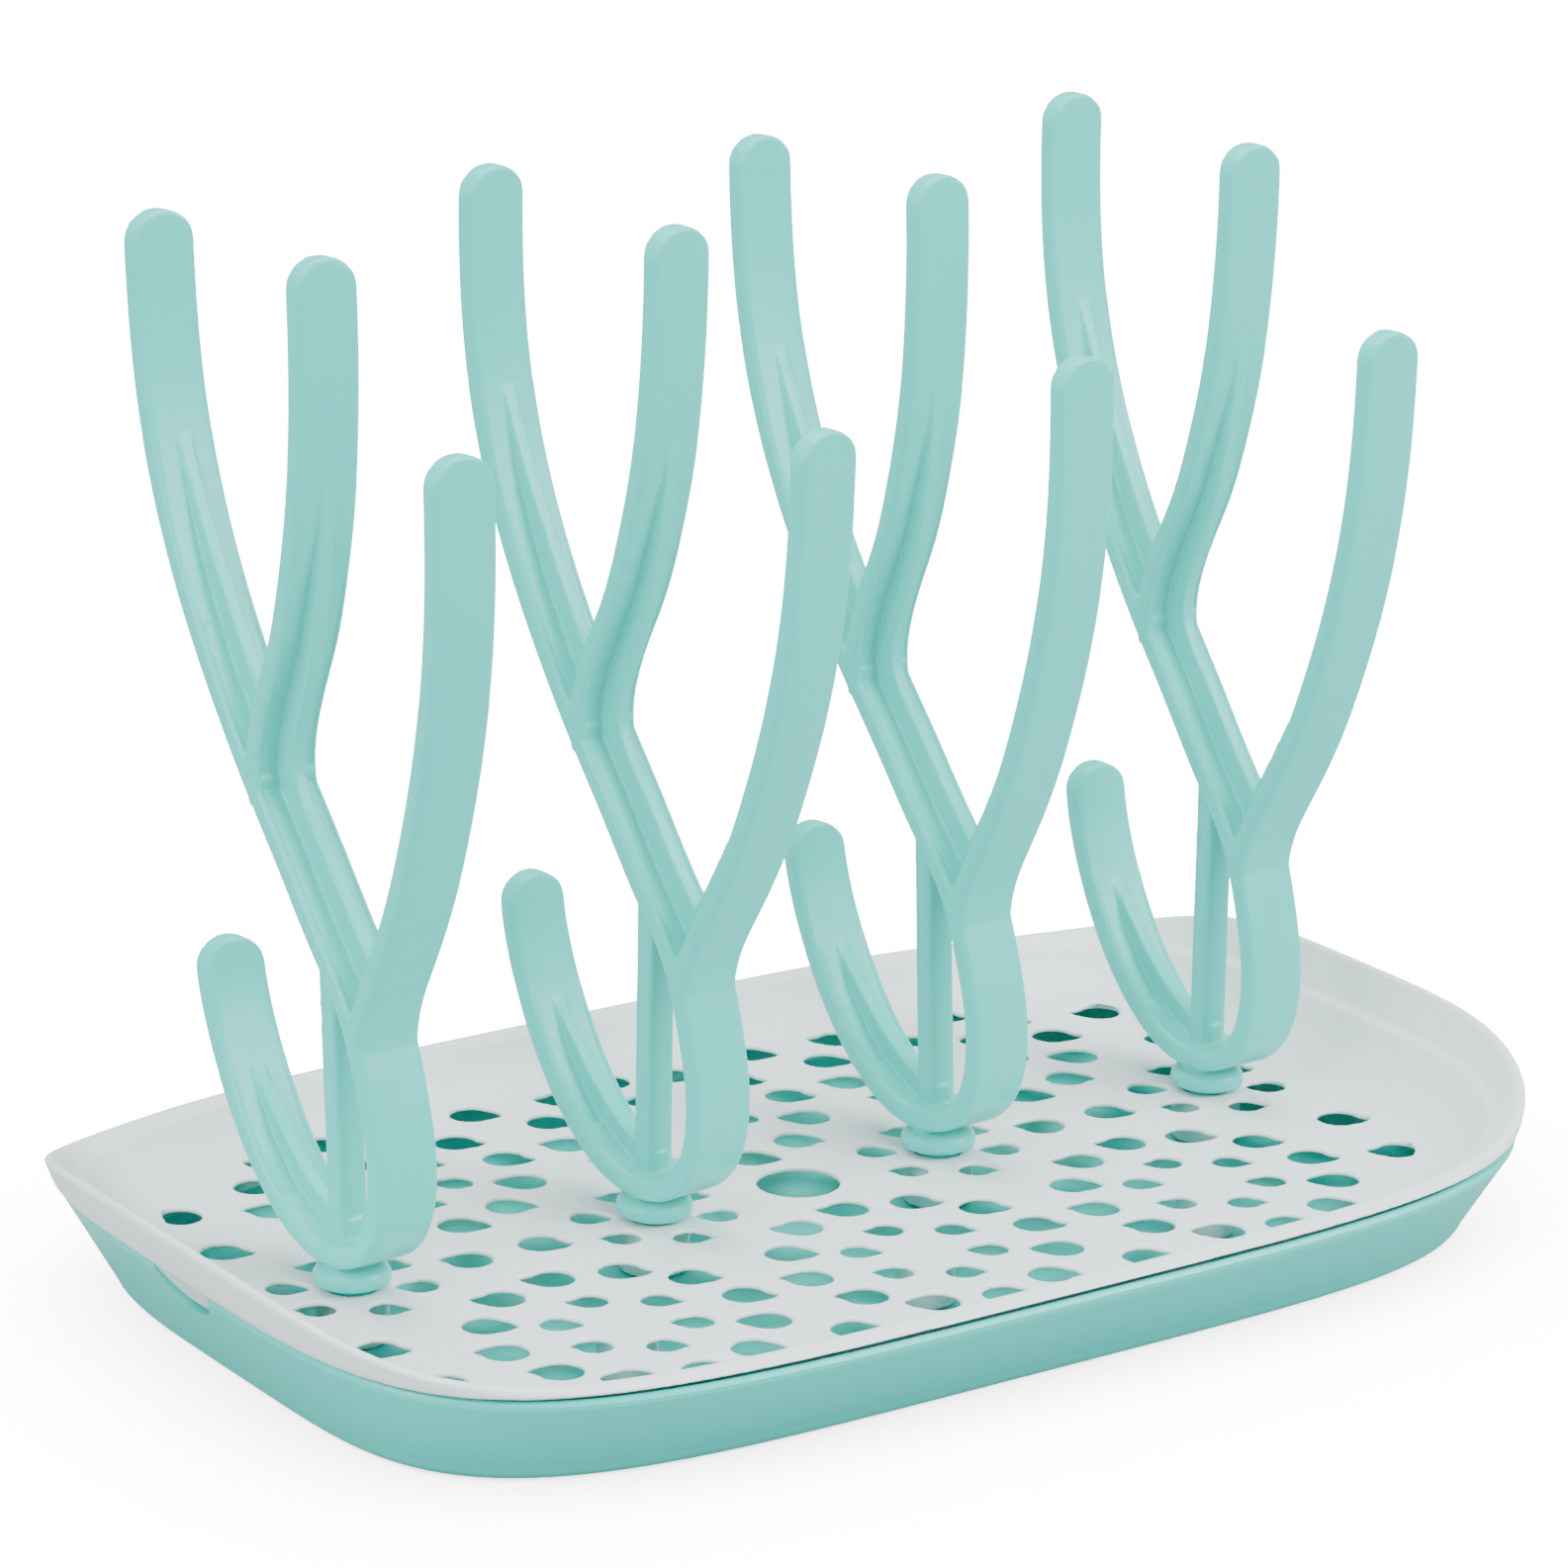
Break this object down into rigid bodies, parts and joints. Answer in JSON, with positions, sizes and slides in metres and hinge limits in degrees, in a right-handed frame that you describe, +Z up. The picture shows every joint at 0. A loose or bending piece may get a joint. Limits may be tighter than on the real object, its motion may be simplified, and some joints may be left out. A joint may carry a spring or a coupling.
{
  "type": "bottle drying rack",
  "caption": "Low oval drip tray with a perforated drain grate and a row of forked branches that hold upturned bottles.",
  "frame": {"origin": "on the table under the middle of the tray", "axes": "+X along the row of branches and the tray's long side, +Y from the front long side to the back one, +Z up"},
  "size_m": [0.3378, 0.2182, 0.2508],
  "materials": {
    "mint_plastic": "fine satin moulded polypropylene, pale mint green",
    "white_plastic": "fine satin moulded polypropylene, white"
  },
  "bodies": {
    "tray": {"drip_tray": "mint_plastic"},
    "grate": {"drain_grate": "white_plastic"},
    "branch_1": {"branch_1": "mint_plastic"},
    "branch_2": {"branch_2": "mint_plastic"},
    "branch_3": {"branch_3": "mint_plastic"},
    "branch_4": {"branch_4": "mint_plastic"}
  },
  "joints": [
    {"name": "grate_lift", "type": "slide", "parent": "tray", "child": "grate", "axis": [0, 0, 1], "range_m": [0, 0.06]},
    {"name": "branch_1_turn", "type": "hinge", "parent": "grate", "child": "branch_1", "pos_m": [-0.12, 0, 0.015], "axis": [0, 0, 1], "range_deg": [-29.6, 20.4]},
    {"name": "branch_2_turn", "type": "hinge", "parent": "grate", "child": "branch_2", "pos_m": [-0.04, 0, 0.015], "axis": [0, 0, 1], "range_deg": [-33.6, 16.4]},
    {"name": "branch_3_turn", "type": "hinge", "parent": "grate", "child": "branch_3", "pos_m": [0.04, 0, 0.015], "axis": [0, 0, 1], "range_deg": [-31, 19]},
    {"name": "branch_4_turn", "type": "hinge", "parent": "grate", "child": "branch_4", "pos_m": [0.12, 0, 0.015], "axis": [0, 0, 1], "range_deg": [-29.7, 20.3]}
  ]
}
